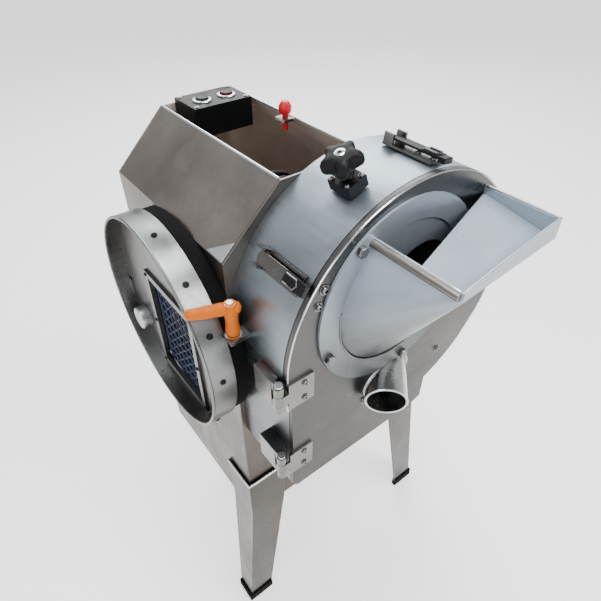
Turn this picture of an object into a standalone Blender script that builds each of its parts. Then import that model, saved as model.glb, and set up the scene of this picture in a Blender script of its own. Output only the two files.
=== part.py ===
"""Free-standing french fry cutter: a folded sheet cabinet on four splayed legs, a round cutting
chamber on its front with a hinged door, feed hopper and drain pipe, a belt drive inside the cabinet,
and a round cover on the left side held by a clamp lever.

Machine frame used below, in millimetres: X = 0 on the chamber axis, Y = 0 at the chamber's front rim
(+Y to the rear), Z = 0 on the floor. SHIFT moves this frame so that the world origin is the middle of
the footprint.
"""

import math

import bmesh
import bpy
from mathutils import Vector

for old in list(bpy.data.objects):
    bpy.data.objects.remove(old, do_unlink=True)

# ---------------------------------------------------------------- driving dimensions (mm)
MM = 0.001
SHIFT = Vector((-15.92, -142.25, 0.0))
GAP = 0.3

CHAMBER_R = 180.0
CHAMBER_DEPTH = 103.0
AXIS_Z = 775.0
SHEET = 2.7

BODY_LEFT, BODY_RIGHT = -181.0, 215.0
BODY_FRONT, BODY_REAR = 103.0, 383.0
BODY_BOTTOM = 325.0
LEFT_FOLD_Z, RIGHT_FOLD_Z, TOP_Z = 864.0, 756.0, 938.0
TOP_LEFT_X, TOP_RIGHT_X = -103.0, 16.0

BASE_LEFT, BASE_RIGHT, BASE_BOTTOM = -173.0, 70.0, 560.0
DOOR_T = 6.0

LEG_TOP_Z, LEG_SPLAY_LEFT, LEG_SPLAY_RIGHT, LEG_SPLAY_Y = 423.0, 28.0, 50.0, 3.0
REAR_LEG_LEFT, REAR_LEG_RIGHT, REAR_LEG_SPLAY = -76.0, 112.0, 10.0
PAD_H = 8.0

COVER_Y, COVER_Z, COVER_R = 212.0, 728.0, 148.0
COVER_BACK_X, COVER_FRONT_X = -201.5, -234.0
COVER_FACE_X = -209.0
BOSS_Y, BOSS_Z = 308.0, 666.0
WINDOW_Y, WINDOW_Z = (146.0, 256.0), (615.0, 770.0)
COVER_HINGE = (-194.0, 393.0)
COVER_KNUCKLE = (680.0, 710.0)

DOOR_HINGE = (-188.0, -3.0)
KNOB_ANGLE, KNOB_Y = 111.0, 40.0
LATCH_LEFT_ANGLE, LATCH_TOP_ANGLE = 145.0, 82.0
CLAMP_X, CLAMP_Y, CLAMP_BASE_Z = -194.0, 72.0, 790.0

THROAT_X, THROAT_Z, THROAT_R = 6.0, 824.0, 50.0
FLANGE_X, FLANGE_Z, FLANGE_R, BOLT_CIRCLE_R = -22.0, 820.0, 119.0, 111.0
HORN_X, HORN_Z, HORN_R = -20.0, 820.0, 93.0
RIM_Z, RIM_LEFT, RIM_RIGHT = 913.0, -74.0, 104.0
RIM_FRONT_LEFT, RIM_FRONT_RIGHT = -116.0, -99.0
PIPE_MOUTH, PIPE_DIR, PIPE_R = Vector((-48.0, -36.0, 672.0)), Vector((-0.68, -0.72, -0.12)), 27.0

GLAND_Z = 450.0
MOTOR_X, MOTOR_Z = 80.0, 478.0
KNIFE_X, KNIFE_Z = -70.0, 588.0

# ---------------------------------------------------------------- materials


def material(name, rgb, metallic, roughness):
    found = bpy.data.materials.get(name)
    if found:
        return found
    made = bpy.data.materials.new(name)
    made.use_nodes = True
    shader = made.node_tree.nodes["Principled BSDF"]
    shader.inputs["Base Color"].default_value = (*rgb, 1.0)
    shader.inputs["Metallic"].default_value = metallic
    shader.inputs["Roughness"].default_value = roughness
    return made


STEEL = ("brushed_stainless", (0.52, 0.50, 0.48), 1.0, 0.35)
BRIGHT = ("polished_stainless", (0.70, 0.74, 0.78), 1.0, 0.22)
DARK = ("dark_blue_steel", (0.05, 0.07, 0.12), 0.6, 0.45)
BLACK = ("black_plastic", (0.02, 0.02, 0.02), 0.0, 0.35)
RUBBER = ("black_rubber", (0.03, 0.03, 0.03), 0.0, 0.8)
ORANGE = ("orange_plastic", (0.85, 0.30, 0.05), 0.0, 0.4)
RED = ("red_plastic", (0.75, 0.05, 0.08), 0.0, 0.35)
GREEN = ("green_plastic", (0.05, 0.40, 0.12), 0.0, 0.35)
CAST = ("cast_aluminium", (0.62, 0.63, 0.64), 1.0, 0.45)
PAINT = ("grey_blue_paint", (0.18, 0.25, 0.32), 0.0, 0.45)
BLADE = ("knife_steel", (0.75, 0.76, 0.78), 1.0, 0.15)
BRONZE = ("bronze_bush", (0.60, 0.42, 0.18), 1.0, 0.35)

# ---------------------------------------------------------------- modelling helpers


def node(name, mesh_bm, stuff, origin=(0.0, 0.0, 0.0), helper=False):
    """Turns a bmesh in machine millimetres into a named object whose origin is the given point."""
    bmesh.ops.recalc_face_normals(mesh_bm, faces=mesh_bm.faces[:])
    origin = Vector(origin)
    for v in mesh_bm.verts:
        v.co = (v.co - origin) * MM
    mesh = bpy.data.meshes.new(name)
    mesh_bm.to_mesh(mesh)
    mesh_bm.free()
    mesh.shade_smooth()
    mesh.set_sharp_from_angle(angle=math.radians(30))
    obj = bpy.data.objects.new(name, mesh)
    obj.location = (origin + SHIFT) * MM
    mesh.materials.append(material(*stuff))
    bpy.context.scene.collection.objects.link(obj)
    if helper:
        obj.hide_render = True
        obj.display_type = "WIRE"
    return obj


def combine(target, tool, operation):
    modifier = target.modifiers.new(tool.name, "BOOLEAN")
    modifier.operation = operation
    modifier.object = tool
    return target


def cut(target, mesh_bm, name):
    return combine(target, node(name, mesh_bm, DARK, helper=True), "DIFFERENCE")


def join(target, mesh_bm, name):
    return combine(target, node(name, mesh_bm, STEEL, helper=True), "UNION")


def at(axis, a, b, along):
    """A 2D point (a, b) and a distance along the axis, as machine coordinates."""
    if axis == "Y":
        return Vector((a, along, b))
    if axis == "X":
        return Vector((along, a, b))
    return Vector((a, b, along))


def loft(sections):
    """Closed solid through matching closed outlines."""
    bm = bmesh.new()
    rings = [[bm.verts.new(p) for p in section] for section in sections]
    count = len(rings[0])
    for low, high in zip(rings, rings[1:]):
        for i in range(count):
            j = (i + 1) % count
            bm.faces.new((low[i], low[j], high[j], high[i]))
    bm.faces.new(rings[0])
    bm.faces.new(rings[-1])
    return bm


def prism(points, axis, start, end):
    return loft([[at(axis, a, b, start) for a, b in points], [at(axis, a, b, end) for a, b in points]])


def box(x0, x1, y0, y1, z0, z1):
    return prism([(x0, y0), (x1, y0), (x1, y1), (x0, y1)], "Z", z0, z1)


def turned(profile, centre, direction, steps=32):
    """Turns a closed profile of (radius, height) points about an axis."""
    turn = Vector((0, 0, 1)).rotation_difference(Vector(direction).normalized())
    centre = Vector(centre)
    bm = bmesh.new()
    rings = []
    for radius, height in profile:
        if radius < 1e-6:
            rings.append([bm.verts.new(centre + turn @ Vector((0, 0, height)))])
            continue
        ring = []
        for i in range(steps):
            a = 2 * math.pi * i / steps
            ring.append(bm.verts.new(centre + turn @ Vector((radius * math.cos(a), radius * math.sin(a), height))))
        rings.append(ring)
    pairs = list(zip(rings, rings[1:]))
    if len(rings[0]) > 1 and len(rings[-1]) > 1:
        pairs.append((rings[-1], rings[0]))
    for one, two in pairs:
        for i in range(steps):
            j = (i + 1) % steps
            if len(one) == 1:
                bm.faces.new((one[0], two[i], two[j]))
            elif len(two) == 1:
                bm.faces.new((one[i], one[j], two[0]))
            else:
                bm.faces.new((one[i], one[j], two[j], two[i]))
    return bm


def rod(start, end, radius, steps=24):
    start, end = Vector(start), Vector(end)
    length = (end - start).length
    return turned([(0, 0), (radius, 0), (radius, length), (0, length)], start, end - start, steps)


def hull(points):
    bm = bmesh.new()
    made = bmesh.ops.convex_hull(bm, input=[bm.verts.new(p) for p in points])
    spare = {g for g in made["geom_interior"] + made["geom_unused"] if isinstance(g, bmesh.types.BMVert)}
    bmesh.ops.delete(bm, geom=list(spare), context="VERTS")
    return bm


def arc(cx, cz, radius, first, last, steps):
    found = []
    for i in range(steps + 1):
        a = math.radians(first + (last - first) * i / steps)
        found.append((cx + radius * math.cos(a), cz + radius * math.sin(a)))
    return found


def offset_path(points, distance):
    """Mitred parallel of an open polyline, on its left side for a positive distance."""
    found = []
    for i, point in enumerate(points):
        here = Vector(point)
        ins = (here - Vector(points[i - 1])).normalized() if i else None
        outs = (Vector(points[i + 1]) - here).normalized() if i < len(points) - 1 else ins
        ins = ins or outs
        one, two = Vector((-ins.y, ins.x)), Vector((-outs.y, outs.x))
        mitre = (one + two).normalized()
        scale = distance / mitre.dot(one)
        found.append((here.x + mitre.x * scale, here.y + mitre.y * scale))
    return found


def strip(points, thickness, axis, start, end):
    """A sheet of constant thickness that follows a polyline."""
    return prism(points + offset_path(points, thickness)[::-1], axis, start, end)


def radial(angle, radius, y):
    a = math.radians(angle)
    return Vector((radius * math.cos(a), y, AXIS_Z + radius * math.sin(a)))


def radial_box(angle, r0, r1, side0, side1, y0, y1):
    """Block on the chamber's skin: radii from the axis, distances to each side of the angle, and Y."""
    a = math.radians(angle)
    out, side = Vector((math.cos(a), 0, math.sin(a))), Vector((-math.sin(a), 0, math.cos(a)))
    centre = Vector((0, 0, AXIS_Z))
    corners = [(r0, side0), (r1, side0), (r1, side1), (r0, side1)]
    return loft([[centre + out * r + side * s + Vector((0, y, 0)) for r, s in corners] for y in (y0, y1)])


def lattice(columns, rows, y_span, z_span, border, bar, x0, x1):
    """Flat plate with a regular field of rectangular holes, as one mesh."""
    def lines(count, low, high):
        pitch = (high - low + bar) / count
        found = [low - border]
        for i in range(count):
            found += [low + pitch * i, low + pitch * (i + 1) - bar]
        return found + [high + border]

    ys, zs = lines(columns, *y_span), lines(rows, *z_span)
    bm = bmesh.new()
    points = {}

    def vertex(i, k, x):
        if (i, k, x) not in points:
            points[i, k, x] = bm.verts.new((x, ys[i], zs[k]))
        return points[i, k, x]

    def solid(i, k):
        return 0 <= i < len(ys) - 1 and 0 <= k < len(zs) - 1 and not (i % 2 and k % 2)

    for i in range(len(ys) - 1):
        for k in range(len(zs) - 1):
            if not solid(i, k):
                continue
            corners = [(i, k), (i + 1, k), (i + 1, k + 1), (i, k + 1)]
            for x in (x0, x1):
                bm.faces.new([vertex(a, b, x) for a, b in corners])
            for (one, two), (di, dk) in zip(zip(corners, corners[1:] + corners[:1]), ((0, -1), (1, 0), (0, 1), (-1, 0))):
                if not solid(i + di, k + dk):
                    bm.faces.new((vertex(*one, x0), vertex(*two, x0), vertex(*two, x1), vertex(*one, x1)))
    return bm


def chamber_outline(margin, steps=60):
    """Round chamber with a straight-sided base, from its lower left corner clockwise to its lower right corner."""
    radius = CHAMBER_R + margin
    left, right, bottom = BASE_LEFT - margin, BASE_RIGHT + margin, BASE_BOTTOM - margin
    first = 360.0 - math.degrees(math.acos(left / radius))
    last = -math.degrees(math.acos(right / radius))
    ring = arc(0, AXIS_Z, radius, first, last, steps)
    return [(left + 7, bottom), (left, bottom + 7)] + ring + [(right, bottom + 7), (right - 25, bottom)]


# ---------------------------------------------------------------- cabinet

WALL_Y0, WALL_Y1 = BODY_FRONT + SHEET + GAP, BODY_REAR - SHEET - GAP
left_side = node(
    "left_side_panel",
    strip(
        [(BODY_LEFT + 24, BODY_BOTTOM), (BODY_LEFT, BODY_BOTTOM), (BODY_LEFT, LEFT_FOLD_Z), (TOP_LEFT_X, TOP_Z)],
        -SHEET, "Y", WALL_Y0, WALL_Y1,
    ),
    STEEL,
)
cut(left_side, rod((BODY_LEFT - 20, 224, COVER_Z), (BODY_LEFT + 20, 224, COVER_Z), 105, 40), "cut_left_opening")

STOP_X, STOP_Y = 9.0, 247.0
right_side = node(
    "right_side_panel",
    strip(
        [(BODY_RIGHT - 24, BODY_BOTTOM), (BODY_RIGHT, BODY_BOTTOM), (BODY_RIGHT, RIGHT_FOLD_Z), (TOP_RIGHT_X, TOP_Z)],
        SHEET, "Y", WALL_Y0, WALL_Y1,
    ),
    STEEL,
)
join(right_side, box(0, TOP_RIGHT_X + 1.5, STOP_Y - 10, STOP_Y + 10, TOP_Z - 5.0, TOP_Z - 1.8), "add_stop_tab")
cut(right_side, rod((STOP_X, STOP_Y, TOP_Z - 30), (STOP_X, STOP_Y, TOP_Z + 30), 4.5, 16), "cut_stop_hole")

END_OUTLINE = [
    (BODY_LEFT, BODY_BOTTOM), (BODY_LEFT, LEFT_FOLD_Z), (TOP_LEFT_X, TOP_Z),
    (TOP_RIGHT_X, TOP_Z), (BODY_RIGHT, RIGHT_FOLD_Z), (BODY_RIGHT, BODY_BOTTOM),
]
rear = node("rear_panel", prism(END_OUTLINE, "Y", BODY_REAR - SHEET, BODY_REAR), STEEL)
for i in range(6):
    z = 440 + 22 * i
    cut(rear, box(20, 150, BODY_REAR - 20, BODY_REAR + 20, z, z + 7), f"cut_vent_{i}")
cut(rear, rod((-120, BODY_REAR - 20, GLAND_Z), (-120, BODY_REAR + 20, GLAND_Z), 10, 20), "cut_inlet")

bulkhead = node("front_bulkhead", prism(END_OUTLINE, "Y", BODY_FRONT, BODY_FRONT + SHEET), STEEL)
join(bulkhead, prism(arc(0, AXIS_Z, CHAMBER_R - 1.0, 0, 354, 59), "Y", BODY_FRONT + 0.2, BODY_FRONT + SHEET - 0.2), "add_chamber_back")
cut(bulkhead, rod((0, 80, AXIS_Z), (0, 130, AXIS_Z), 34, 32), "cut_shaft_hole")
cut(bulkhead, rod((KNIFE_X, 80, KNIFE_Z), (KNIFE_X, 130, KNIFE_Z), 16, 24), "cut_knife_hole")

node("cable_gland", turned([(5, 0), (14, 0), (14, 6), (9, 6), (9, 14), (5, 14)], (-120, BODY_REAR + GAP, GLAND_Z), (0, 1, 0), 18), BLACK)
node("motor_shelf", box(BODY_LEFT + SHEET + GAP, BODY_RIGHT - SHEET - GAP, 122, 300, 396, 400), STEEL)

# ---------------------------------------------------------------- legs and foot pads

def leg_row(x, y, z, sx, sy, wide, deep):
    """L-section of a leg at one height, from its outer corner."""
    return [
        Vector((x, y, z)), Vector((x - sx * wide, y, z)), Vector((x - sx * wide, y - sy * 3, z)),
        Vector((x - sx * 3, y - sy * 3, z)), Vector((x - sx * 3, y - sy * deep, z)), Vector((x, y - sy * deep, z)),
    ]


def foot_pad(label, x, y, sx, sy):
    pad = [
        (x + sx * 3, y + sy * 3), (x - sx * 52, y + sy * 3), (x - sx * 52, y - sy * 7),
        (x - sx * 7, y - sy * 7), (x - sx * 7, y - sy * 42), (x + sx * 3, y - sy * 42),
    ]
    node(f"foot_pad_{label}", prism(pad, "Z", 0.0, PAD_H), RUBBER)


# The front legs wrap the cabinet's corners.
for label, sx, corner_x, splay in (
    ("front_left", -1, BODY_LEFT - GAP - 3.0, LEG_SPLAY_LEFT), ("front_right", 1, BODY_RIGHT + GAP + 3.0, LEG_SPLAY_RIGHT),
):
    x, y = corner_x, BODY_FRONT - GAP - 3.0
    foot_x, foot_y = x + sx * splay, y - LEG_SPLAY_Y
    rows = [
        leg_row(x, y, LEG_TOP_Z, sx, -1, 72, 65), leg_row(x, y, BODY_BOTTOM, sx, -1, 68, 60),
        leg_row(foot_x, foot_y, PAD_H + GAP, sx, -1, 50, 40),
    ]
    node(f"leg_{label}", loft(rows), STEEL)
    foot_pad(label, foot_x, foot_y, sx, -1)

# The rear legs stand closer together, fastened to the rear panel by a tongue.
for label, sx, x in (("rear_left", -1, REAR_LEG_LEFT), ("rear_right", 1, REAR_LEG_RIGHT)):
    y = BODY_REAR + GAP + 3.0
    foot_x, foot_y = x + sx * REAR_LEG_SPLAY, y + LEG_SPLAY_Y
    leg = node(
        f"leg_{label}",
        loft([leg_row(x, y, BODY_BOTTOM - 0.5, sx, 1, 68, 60), leg_row(foot_x, foot_y, PAD_H + GAP, sx, 1, 50, 40)]),
        STEEL,
    )
    edges = sorted((x - sx * 1.0, x - sx * 66.0))
    join(leg, box(edges[0], edges[1], y - 2.8, y - 0.3, BODY_BOTTOM - 12, LEG_TOP_Z), f"add_tongue_{label}")
    foot_pad(label, foot_x, foot_y, sx, 1)

# ---------------------------------------------------------------- cutting chamber

housing = node("chamber_housing", strip(chamber_outline(0.0), -3.0, "Y", GAP, BODY_FRONT - GAP), BRIGHT)
cut(housing, rod(radial(KNOB_ANGLE, 150, KNOB_Y), radial(KNOB_ANGLE, 200, KNOB_Y), 6.0, 20), "cut_knob_hole")

# The slicing ring is open between 94 and 125 degrees, where the gate and the knife stand.
node("slicing_ring", strip(arc(0, AXIS_Z, 158, 94, -235, 48), -4.0, "Y", 4.0, BODY_FRONT - GAP), STEEL)
node("slicing_knife", radial_box(117.5, 149.5, 152.0, -9.0, 11.0, 8, 96), BLADE)
node("thickness_gate", radial_box(104.0, 149.5, 152.5, -17, 17, 8, 96), STEEL, radial(KNOB_ANGLE, 151, KNOB_Y))

impeller = node("impeller", turned([(13, 84), (146, 84), (146, 88), (30, 88), (30, 98), (13, 98)], (0, 0, AXIS_Z), (0, 1, 0), 44), CAST, (0, 90, AXIS_Z))
for i in range(3):
    join(impeller, radial_box(30 + 120 * i, 40, 142, -3, 3, 22, 86), f"add_vane_{i}")
node("main_shaft", turned([(0, 80), (12.4, 80), (12.4, 300), (10, 303), (0, 303)], (0, 0, AXIS_Z), (0, 1, 0), 24), BRIGHT, (0, 200, AXIS_Z))
node(
    "bearing_housing",
    turned([(13, 100), (33, 100), (33, 106.0), (52, 106.0), (52, 114), (34, 118), (34, 180), (13, 180)], (0, 0, AXIS_Z), (0, 1, 0), 32),
    CAST,
)
node(
    "drive_pulley",
    turned(
        [
            (13, 200), (34, 200), (34, 203), (28, 204), (28, 214), (34, 215), (34, 218), (22, 218), (22, 258),
            (72, 258), (72, 262), (62, 264), (62, 278), (72, 280), (72, 284), (13, 284),
        ],
        (0, 0, AXIS_Z), (0, 1, 0), 36,
    ),
    CAST, (0, 245, AXIS_Z),
)

# Strip cutter: round knives on a shaft under the slicing ring, with a comb that clears the strips.
DISC_PITCH, DISC_T, DISCS = 11.0, 2.0, 8
profile = [(0, 6), (8, 6)]
for i in range(DISCS):
    y = 12 + DISC_PITCH * i
    profile += [(12, y), (25, y + 0.8), (25, y + DISC_T - 0.8), (12, y + DISC_T)]
profile += [(8, 96), (8, 232), (0, 232)]
node("strip_knife_roller", turned(profile, (KNIFE_X, 0, KNIFE_Z), (0, 1, 0), 24), BLADE, (KNIFE_X, 50, KNIFE_Z))
comb = [(-168.0, 8.0), (-148.0, 8.0)]
for i in range(DISCS - 1):
    y0, y1 = 12 + DISC_PITCH * i + DISC_T + 1.5, 12 + DISC_PITCH * (i + 1) - 1.5
    comb += [(-148.0, y0), (-88.0, y0), (-88.0, y1), (-148.0, y1)]
comb += [(-148.0, 97.0), (-168.0, 97.0)]
node("stripper_comb", prism(comb, "Z", KNIFE_Z + 4, KNIFE_Z + 7), STEEL)
node(
    "cutter_bearing",
    turned([(8.5, 99), (15, 99), (15, 106.0), (30, 106.0), (30, 112), (18, 114), (18, 130), (8.5, 130)], (KNIFE_X, 0, KNIFE_Z), (0, 1, 0), 24),
    BRONZE,
)
node(
    "cutter_pulley",
    turned([(8.5, 200), (34, 200), (34, 203), (28, 204), (28, 214), (34, 215), (34, 218), (8.5, 218)], (KNIFE_X, 0, KNIFE_Z), (0, 1, 0), 28),
    CAST, (KNIFE_X, 209, KNIFE_Z),
)


def belt(one, two, clearance, thick, start, end, steps=14):
    """Closed belt round two pulleys given as (x, z, groove radius)."""
    (x1, z1, r1), (x2, z2, r2) = one, two
    base = math.degrees(math.atan2(z2 - z1, x2 - x1))
    span = math.hypot(x2 - x1, z2 - z1)
    bm = bmesh.new()
    rings = []
    for extra in (clearance, clearance + thick):
        a, b = r1 + extra, r2 + extra
        lean = math.degrees(math.acos((a - b) / span))
        loop = arc(x1, z1, a, base + lean, base + 360 - lean, steps) + arc(x2, z2, b, base - lean, base + lean, steps)
        rings += [[bm.verts.new(at("Y", x, z, y)) for x, z in loop] for y in (start, end)]
    count = len(rings[0])
    for p, q in ((0, 1), (2, 3), (0, 2), (1, 3)):
        for i in range(count):
            j = (i + 1) % count
            bm.faces.new((rings[p][i], rings[p][j], rings[q][j], rings[q][i]))
    return bm


# The belts stand off their faceted pulleys a little more than their real contact.
node("main_belt", belt((0, AXIS_Z, 62), (MOTOR_X, MOTOR_Z, 30), 1.2, 8, 265, 277), RUBBER)
node("cutter_belt", belt((0, AXIS_Z, 28), (KNIFE_X, KNIFE_Z, 28), 1.0, 5, 205, 213), RUBBER)

motor = node(
    "motor_body",
    turned([(0, 126), (40, 126), (66, 134), (66, 226), (60, 236), (14, 240), (14, 236), (0, 236)], (MOTOR_X, 0, MOTOR_Z), (0, 1, 0), 36),
    PAINT,
)
join(motor, box(MOTOR_X - 50, MOTOR_X + 50, 150, 220, 400 + GAP, 432), "add_motor_foot")
join(motor, box(MOTOR_X - 100, MOTOR_X - 58, 155, 205, MOTOR_Z - 26, MOTOR_Z + 26), "add_terminal_box")
node(
    "motor_pulley",
    turned(
        [(0, 241), (11, 241), (11, 258), (38, 258), (38, 262), (30, 264), (30, 278), (38, 280), (38, 284), (0, 284)],
        (MOTOR_X, 0, MOTOR_Z), (0, 1, 0), 28,
    ),
    CAST, (MOTOR_X, 265, MOTOR_Z),
)

# ---------------------------------------------------------------- front door with hopper and drain

DOOR_BACK, DOOR_FRONT = -GAP, -GAP - DOOR_T
SEAT_Y = DOOR_FRONT - GAP
DOOR_ORIGIN = (DOOR_HINGE[0], DOOR_HINGE[1], 690)
pipe_axis = PIPE_DIR.normalized()
pipe_back = PIPE_MOUTH - pipe_axis * 90

door = node("front_door", prism(chamber_outline(0.0), "Y", DOOR_FRONT, DOOR_BACK), BRIGHT, DOOR_ORIGIN)
cut(door, rod((THROAT_X, -30, THROAT_Z), (THROAT_X, 30, THROAT_Z), THROAT_R, 40), "cut_feed_hole")
cut(door, rod(pipe_back, PIPE_MOUTH, PIPE_R - 3.5, 28), "cut_drain_hole")


def hopper_hull(inset, over):
    """Cone from a circle on the door to a level rectangular rim; over lengthens it past both open ends."""
    points = []
    for a, b in arc(HORN_X, HORN_Z, HORN_R - inset, 0, 351, 39):
        points.append((a, SEAT_Y + over, b))
    left, right = RIM_LEFT + inset, RIM_RIGHT - inset
    corners = (
        (left, SEAT_Y + over, 903.0), (right, SEAT_Y + over, 888.0),
        (left, RIM_FRONT_LEFT + inset, 903.0), (right, RIM_FRONT_RIGHT + inset, 888.0),
    )
    for x, y, low in corners:
        points += [(x, y, low + inset * 0.6), (x, y, RIM_Z + over)]
    return hull(points)


hopper = node("feed_hopper", hopper_hull(0.0, 0.0), BRIGHT, DOOR_ORIGIN)
cut(hopper, hopper_hull(2.6, 0.5), "cut_hopper_inside")
tray = [(-80.0, -118.0), (108.0, -118.0), (108.0, -6.0), (-80.0, -68.7)]
floor_plate = node(
    "add_tray_floor",
    hull([(x, y, 912.8 - 0.0843 * x + 0.157 * y + dz) for x, y in tray for dz in (0.0, -2.5)]),
    STEEL, helper=True,
)
combine(floor_plate, node("keep_tray_floor", hopper_hull(1.3, 0.0), STEEL, helper=True), "INTERSECT")
combine(hopper, floor_plate, "UNION")
join(
    hopper,
    turned([(91.4, 0), (FLANGE_R, 0), (FLANGE_R, 3), (91.4, 3)], (FLANGE_X + 1, SEAT_Y - 0.02, FLANGE_Z), (0, -1, 0), 48),
    "add_hopper_flange",
)
cut(hopper, rod(pipe_back, PIPE_MOUTH, PIPE_R + 1.0, 28), "cut_pipe_room")

for label, angle in (("upper", 129), ("left", 201), ("lower", 281), ("right", 345)):
    a = math.radians(angle)
    centre = (FLANGE_X + BOLT_CIRCLE_R * math.cos(a), SEAT_Y - 3 - GAP - 0.02, FLANGE_Z + BOLT_CIRCLE_R * math.sin(a))
    node(f"hopper_bolt_{label}", turned([(0, 0), (6.8, 0), (6.8, 4.5), (5.6, 6), (0, 6)], centre, (0, -1, 0), 6), BRIGHT)

pipe = node("drain_pipe", turned([(PIPE_R - 2.5, 0), (PIPE_R, 0), (PIPE_R, 90), (PIPE_R - 2.5, 90)], pipe_back, pipe_axis, 36), BRIGHT)
cut(pipe, box(-300, 300, SEAT_Y, 200, 500, 900), "cut_pipe_back")


def hinge(label, z):
    """Butt hinge of the door: two fixed knuckles, one moving knuckle and a pin."""
    hx, hy = DOOR_HINGE
    fixed = node(f"door_hinge_fixed_{label}", box(hx - 2.5, -160.0, 8.0, 40.0, z - 20, z + 20), BRIGHT)
    cut(fixed, prism(chamber_outline(GAP + 0.1), "Y", -20.0, 90.0), f"cut_housing_seat_{label}")
    for k, (z0, z1) in enumerate(((z - 20, z - 8), (z + 8, z + 20))):
        join(fixed, box(hx - 2.0, hx + 3.0, hy, 12.0, z0 + 0.05, z1 - 0.05), f"add_web_{label}_{k}")
        join(fixed, rod((hx, hy, z0), (hx, hy, z1), 6.0, 18), f"add_knuckle_{label}_{k}")
    cut(fixed, rod((hx, hy, z - 40), (hx, hy, z + 40), 3.2, 14), f"cut_fixed_bore_{label}")
    moving = node(f"door_hinge_moving_{label}", box(hx, -145.0, SEAT_Y - 3.0, SEAT_Y, z - 20, z + 20), BRIGHT, (hx, hy, z))
    cut(moving, box(hx - 20, hx + 8.5, -40, 40, z + 7.5, z + 40), f"cut_leaf_top_{label}")
    cut(moving, box(hx - 20, hx + 8.5, -40, 40, z - 40, z - 7.5), f"cut_leaf_low_{label}")
    join(moving, rod((hx, hy, z - 7.4), (hx, hy, z + 7.4), 6.2, 18), f"add_moving_knuckle_{label}")
    cut(moving, rod((hx, hy, z - 41), (hx, hy, z + 41), 3.4, 14), f"cut_moving_bore_{label}")
    node(f"door_hinge_pin_{label}", turned([(0, -21), (2.6, -21), (2.6, 20.4), (5.0, 20.4), (5.0, 23), (0, 23)], (hx, hy, z), (0, 0, 1), 14), BRIGHT)


hinge("upper", 752.0)
hinge("lower", 623.0)

# ---------------------------------------------------------------- latches on the chamber

for label, angle in (("left", LATCH_LEFT_ANGLE), ("top", LATCH_TOP_ANGLE)):
    base = node(f"latch_base_{label}", radial_box(angle, 181.4, 184.0, -11.5, 11.5, 8, 76), BRIGHT)
    join(base, radial_box(angle, 183.0, 195.0, -11.3, -8.5, 62, 75.5), f"add_ear_{label}_0")
    join(base, radial_box(angle, 183.0, 195.0, 8.5, 11.3, 62, 75.5), f"add_ear_{label}_1")
    lever = node(f"latch_lever_{label}", radial_box(angle, 187.5, 192.0, -7.5, 7.5, -5.0, 73.0), DARK, radial(angle, 190.0, 69.0))
    join(lever, radial_box(angle, 184.8, 189.0, -7.0, 7.0, -4.8, 2.0), f"add_hook_{label}")
    join(lever, radial_box(angle, 191.0, 197.0, -5.0, 5.0, 4.0, 10.0), f"add_grip_{label}")

# ---------------------------------------------------------------- star knob

knob_dir = (radial(KNOB_ANGLE, 1, 0) - radial(KNOB_ANGLE, 0, 0)).normalized()
knob_block = node("knob_block", radial_box(KNOB_ANGLE, 181.6, 194.0, -13, 13, KNOB_Y - 15, KNOB_Y + 15), BLACK)
cut(knob_block, rod(radial(KNOB_ANGLE, 150, KNOB_Y), radial(KNOB_ANGLE, 230, KNOB_Y), 6.0, 20), "cut_block_bore")
knob = node(
    "star_knob",
    turned([(0, 162), (4.6, 162), (4.6, 197), (9, 197), (10, 207), (14, 209), (14, 222), (10, 225), (0, 225)], radial(KNOB_ANGLE, 0, KNOB_Y), knob_dir, 20),
    BLACK, radial(KNOB_ANGLE, 200, KNOB_Y),
)
turn = Vector((0, 0, 1)).rotation_difference(knob_dir)
for i in range(5):
    a = 2 * math.pi * i / 5
    centre = radial(KNOB_ANGLE, 0, KNOB_Y) + turn @ Vector((15.0 * math.cos(a), 15.0 * math.sin(a), 0))
    join(knob, turned([(0, 208), (5.5, 208), (7, 210), (7, 220.5), (5.5, 223), (0, 223)], centre, knob_dir, 12), f"add_lobe_{i}")

# ---------------------------------------------------------------- round cover on the left side

node(
    "cover_seal_ring",
    turned([(130, 0), (145, 0), (145, 19.4), (130, 19.4)], (BODY_LEFT - GAP, COVER_Y, COVER_Z), (-1, 0, 0), 48),
    RUBBER,
)
hx, hy = COVER_HINGE
COVER_ORIGIN = (hx, hy, COVER_Z)
face, depth = COVER_BACK_X - COVER_FACE_X, COVER_BACK_X - COVER_FRONT_X
cover = node(
    "round_cover",
    turned(
        [
            (0, face), (COVER_R - 3, face), (COVER_R - 3, 0), (COVER_R, 0), (COVER_R, depth),
            (COVER_R - 3, depth), (COVER_R - 3, face + 3), (0, face + 3),
        ],
        (COVER_BACK_X, COVER_Y, COVER_Z), (-1, 0, 0), 56,
    ),
    BRIGHT, COVER_ORIGIN,
)
(wy0, wy1), (wz0, wz1) = WINDOW_Y, WINDOW_Z
join(cover, box(COVER_FACE_X - 7, COVER_FACE_X - 1.5, wy0 - 9, wy1 + 9, wz0 - 9, wz1 + 9), "add_window_frame")
cut(cover, box(-260, -150, wy0, wy1, wz0, wz1), "cut_window")
join(cover, rod((COVER_FACE_X - 1.5, BOSS_Y, BOSS_Z), (-227.5, BOSS_Y, BOSS_Z), 17, 28), "add_boss")
join(cover, box(-214, -203, 345, hy, COVER_KNUCKLE[0], COVER_KNUCKLE[1]), "add_cover_arm")
join(cover, box(-213.5, hx, hy - 5, hy + 3, COVER_KNUCKLE[0] + 0.05, COVER_KNUCKLE[1] - 0.05), "add_cover_link")
join(cover, rod((hx, hy, COVER_KNUCKLE[0] - 0.05), (hx, hy, COVER_KNUCKLE[1] + 0.05), 7.5, 20), "add_cover_knuckle")
cut(cover, rod((hx, hy, 600), (hx, hy, 800), 3.5, 14), "cut_cover_bore")
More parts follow.
